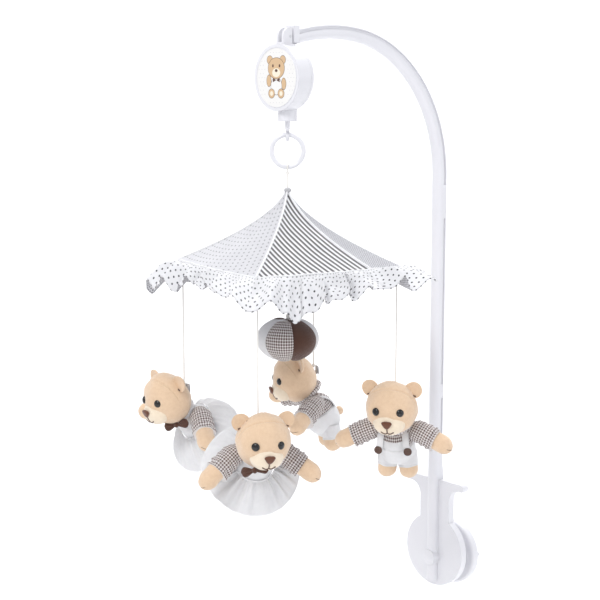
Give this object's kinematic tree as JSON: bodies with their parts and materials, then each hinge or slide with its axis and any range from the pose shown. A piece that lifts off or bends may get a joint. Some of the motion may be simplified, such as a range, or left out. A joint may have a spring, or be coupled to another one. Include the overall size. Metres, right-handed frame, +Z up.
{
  "type": "crib mobile",
  "caption": "Clamp-on crib mobile: curved arm, wind-up music box, fabric canopy with a ruffle, and plush bears and a ball hung on cords.",
  "frame": {"origin": "centre of the front jaw disc on its rail side, 8 mm above the clamp screw's axis", "axes": "+Z up along the strut, +Y from the jaw towards the rail and the knob, +X to the side; the arm reaches towards -Y"},
  "size_m": [0.3086, 0.443, 0.6429],
  "materials": {
    "white_plastic": "satin",
    "box_plastic": "gloss",
    "print": "satin",
    "steel": "satin",
    "brass": "satin",
    "cord": "matte",
    "tape": "matte",
    "canopy_cloth": "matte",
    "ball_cloth": "matte",
    "plush": "matte",
    "bear_cloth": "matte",
    "eye": "gloss"
  },
  "bodies": {
    "arm": {"jaw_bracket": "white_plastic", "middle_strut": "white_plastic", "curved_arm": "white_plastic", "arm_tip": "white_plastic", "clamp_screw": "steel"},
    "pressure_ring": {"pressure_ring": "white_plastic"},
    "knob": {"clamp_knob": "white_plastic"},
    "music_box": {"box_front": "box_plastic", "box_back": "box_plastic", "face_plate": "print", "case_screws": "steel", "tilt_pin": "steel", "spout": "box_plastic", "movement_plate": "brass", "tone_comb": "steel"},
    "winding_key": {"winding_key": "white_plastic"},
    "barrel": {"spring_barrel": "brass", "mainspring": "steel"},
    "drum": {"pin_drum": "brass"},
    "governor": {"governor": "brass"},
    "spindle": {"spindle_hook": "box_plastic"},
    "ring": {"hanging_ring": "box_plastic"},
    "canopy": {"main_cord": "cord", "canopy_hanger": "white_plastic", "canopy": "canopy_cloth"},
    "ball_line": {"ball_cord": "cord"},
    "ball": {"ball": "ball_cloth"},
    "front_line": {"front_cord": "cord"},
    "front_bear": {"front_tab": "tape", "front_head": "plush", "front_eyes": "eye", "front_body": "bear_cloth", "front_arms": "plush", "front_skirt": "bear_cloth"},
    "right_line": {"right_cord": "cord"},
    "right_bear": {"right_tab": "tape", "right_head": "plush", "right_eyes": "eye", "right_body": "bear_cloth", "right_arms": "plush", "right_legs": "plush"},
    "back_line": {"back_cord": "cord"},
    "back_bear": {"back_tab": "tape", "back_head": "plush", "back_eyes": "eye", "back_body": "bear_cloth", "back_arms": "plush", "back_legs": "plush"},
    "left_line": {"left_cord": "cord"},
    "left_bear": {"left_tab": "tape", "left_head": "plush", "left_eyes": "eye", "left_body": "bear_cloth", "left_arms": "plush", "left_skirt": "bear_cloth"}
  },
  "joints": [
    {"name": "knob_slide", "type": "slide", "parent": "arm", "child": "pressure_ring", "axis": [0, 1, 0], "range_m": [-0.0125, 0.0125]},
    {"name": "knob_turn", "type": "hinge", "parent": "pressure_ring", "child": "knob", "pos_m": [0, 0.017, -0.008], "axis": [0, 1, 0], "range_deg": [-1080, 1080]},
    {"name": "box_tilt", "type": "hinge", "parent": "arm", "child": "music_box", "pos_m": [0, -0.24, 0.584], "axis": [1, 0, 0], "range_deg": [-8, 8]},
    {"name": "key_turn", "type": "hinge", "parent": "music_box", "child": "winding_key", "pos_m": [0, -0.23, 0.5395], "axis": [0, 1, 0], "continuous": true},
    {"name": "spindle_spin", "type": "hinge", "parent": "music_box", "child": "spindle", "pos_m": [0, -0.239, 0.505], "axis": [0, 0, 1], "continuous": true},
    {"name": "barrel_spin", "type": "hinge", "parent": "music_box", "child": "barrel", "pos_m": [0, -0.247, 0.5395], "axis": [0, 1, 0], "continuous": true},
    {"name": "drum_spin", "type": "hinge", "parent": "music_box", "child": "drum", "pos_m": [0, -0.247, 0.55935], "axis": [0, 1, 0], "continuous": true},
    {"name": "governor_spin", "type": "hinge", "parent": "music_box", "child": "governor", "pos_m": [-0.0093, -0.2455, 0.55935], "axis": [0, 0, 1], "continuous": true},
    {"name": "ring_swing", "type": "hinge", "parent": "spindle", "child": "ring", "pos_m": [0, -0.239, 0.48675], "axis": [0.7314, -0.682, 0], "range_deg": [-5, 5]},
    {"name": "canopy_swing", "type": "hinge", "parent": "ring", "child": "canopy", "pos_m": [0, -0.239, 0.45445], "axis": [0.682, 0.7314, 0], "range_deg": [-5, 5]},
    {"name": "ball_swing", "type": "hinge", "parent": "canopy", "child": "ball_line", "pos_m": [0, -0.239, 0.3496], "axis": [1, 0, 0], "range_deg": [-8, 8]},
    {"name": "ball_twist", "type": "hinge", "parent": "ball_line", "child": "ball", "pos_m": [0, -0.239, 0.301], "axis": [0, 0, 1], "range_deg": [-180, 180]},
    {"name": "front_swing", "type": "hinge", "parent": "canopy", "child": "front_line", "pos_m": [0.06154, -0.33377, 0.3496], "axis": [0.8387, 0.5446, 0], "range_deg": [-8, 8]},
    {"name": "front_twist", "type": "hinge", "parent": "front_line", "child": "front_bear", "pos_m": [0.06154, -0.33377, 0.217], "axis": [0, 0, 1], "range_deg": [-90, 90]},
    {"name": "right_swing", "type": "hinge", "parent": "canopy", "child": "right_line", "pos_m": [0.09477, -0.17746, 0.3496], "axis": [-0.5446, 0.8387, 0], "range_deg": [-8, 8]},
    {"name": "right_twist", "type": "hinge", "parent": "right_line", "child": "right_bear", "pos_m": [0.09477, -0.17746, 0.23], "axis": [0, 0, 1], "range_deg": [-90, 90]},
    {"name": "back_swing", "type": "hinge", "parent": "canopy", "child": "back_line", "pos_m": [-0.06154, -0.14423, 0.3496], "axis": [-0.8387, -0.5446, 0], "range_deg": [-8, 8]},
    {"name": "back_twist", "type": "hinge", "parent": "back_line", "child": "back_bear", "pos_m": [-0.06154, -0.14423, 0.228], "axis": [0, 0, 1], "range_deg": [-90, 90]},
    {"name": "left_swing", "type": "hinge", "parent": "canopy", "child": "left_line", "pos_m": [-0.09477, -0.30054, 0.3496], "axis": [0.5446, -0.8387, 0], "range_deg": [-8, 8]},
    {"name": "left_twist", "type": "hinge", "parent": "left_line", "child": "left_bear", "pos_m": [-0.09477, -0.30054, 0.225], "axis": [0, 0, 1], "range_deg": [-90, 90]}
  ],
  "couplings": [
    {"joint": "knob_slide", "follows": "knob_turn", "m_per_rad": 0.0006366},
    {"joint": "barrel_spin", "follows": "spindle_spin", "ratio": -0.33333},
    {"joint": "drum_spin", "follows": "spindle_spin", "ratio": 0.66667},
    {"joint": "governor_spin", "follows": "spindle_spin", "ratio": 13.333}
  ]
}
